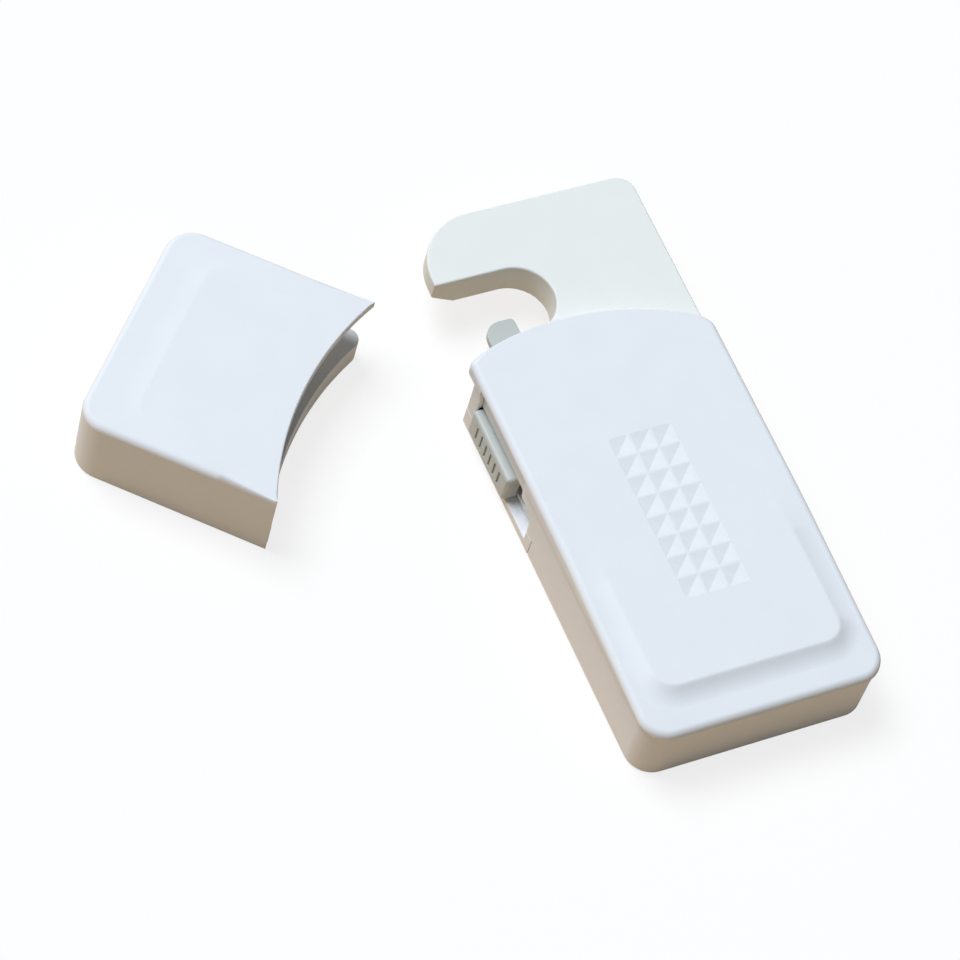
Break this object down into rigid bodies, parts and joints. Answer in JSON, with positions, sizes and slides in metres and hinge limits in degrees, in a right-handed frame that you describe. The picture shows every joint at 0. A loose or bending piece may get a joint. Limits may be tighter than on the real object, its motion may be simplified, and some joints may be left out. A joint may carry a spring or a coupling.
{
  "type": "cabinet safety lock",
  "caption": "Stick-on cabinet lock: a hooked housing turns on an adhesive disc, a side slider pushes a tongue across the hook's mouth, and a separate catch holds the post it takes.",
  "frame": {"origin": "on the pivot axis of the lock, at the adhesive face that meets the cabinet", "axes": "+Z away from the cabinet, +Y from the pivot towards the hook, +X to the side where the hook swings open"},
  "size_m": [0.099, 0.1024, 0.0135],
  "materials": {
    "white_abs": "fine matte moulded",
    "grey_abs": "fine matte moulded",
    "acetal": "satin moulded",
    "steel": "zinc plated",
    "foam": "closed-cell foam with acrylic adhesive"
  },
  "bodies": {
    "mount": {"mount_foam": "foam", "mount_base": "white_abs", "pivot_washer": "steel", "pivot_screw": "steel", "wave_washer": "steel"},
    "housing": {"top_cover": "white_abs", "housing_frame": "white_abs", "bottom_plate": "white_abs", "hook_plate": "white_abs", "pivot_bush": "acetal", "hook_screws": "steel", "housing_screws": "steel", "detent_spring": "steel"},
    "slider": {"lock_slider": "grey_abs"},
    "catch": {"catch_cover": "white_abs", "catch_base": "white_abs", "strike_post": "steel", "post_screw": "steel", "catch_screws": "steel", "catch_foam": "foam"}
  },
  "joints": [
    {"name": "housing_turn", "type": "hinge", "parent": "mount", "child": "housing", "pos_m": [0, 0, 0.005], "axis": [0, 0, 1], "range_deg": [-45, 0]},
    {"name": "slider_slide", "type": "slide", "parent": "housing", "child": "slider", "axis": [0, 1, 0], "range_m": [-0.006, 0], "deforming": ["detent_spring"]},
    {"name": "catch_slide", "type": "slide", "parent": "mount", "child": "catch", "axis": [-0.7242, 0.6896, 0], "range_m": [0, 0.03]}
  ]
}
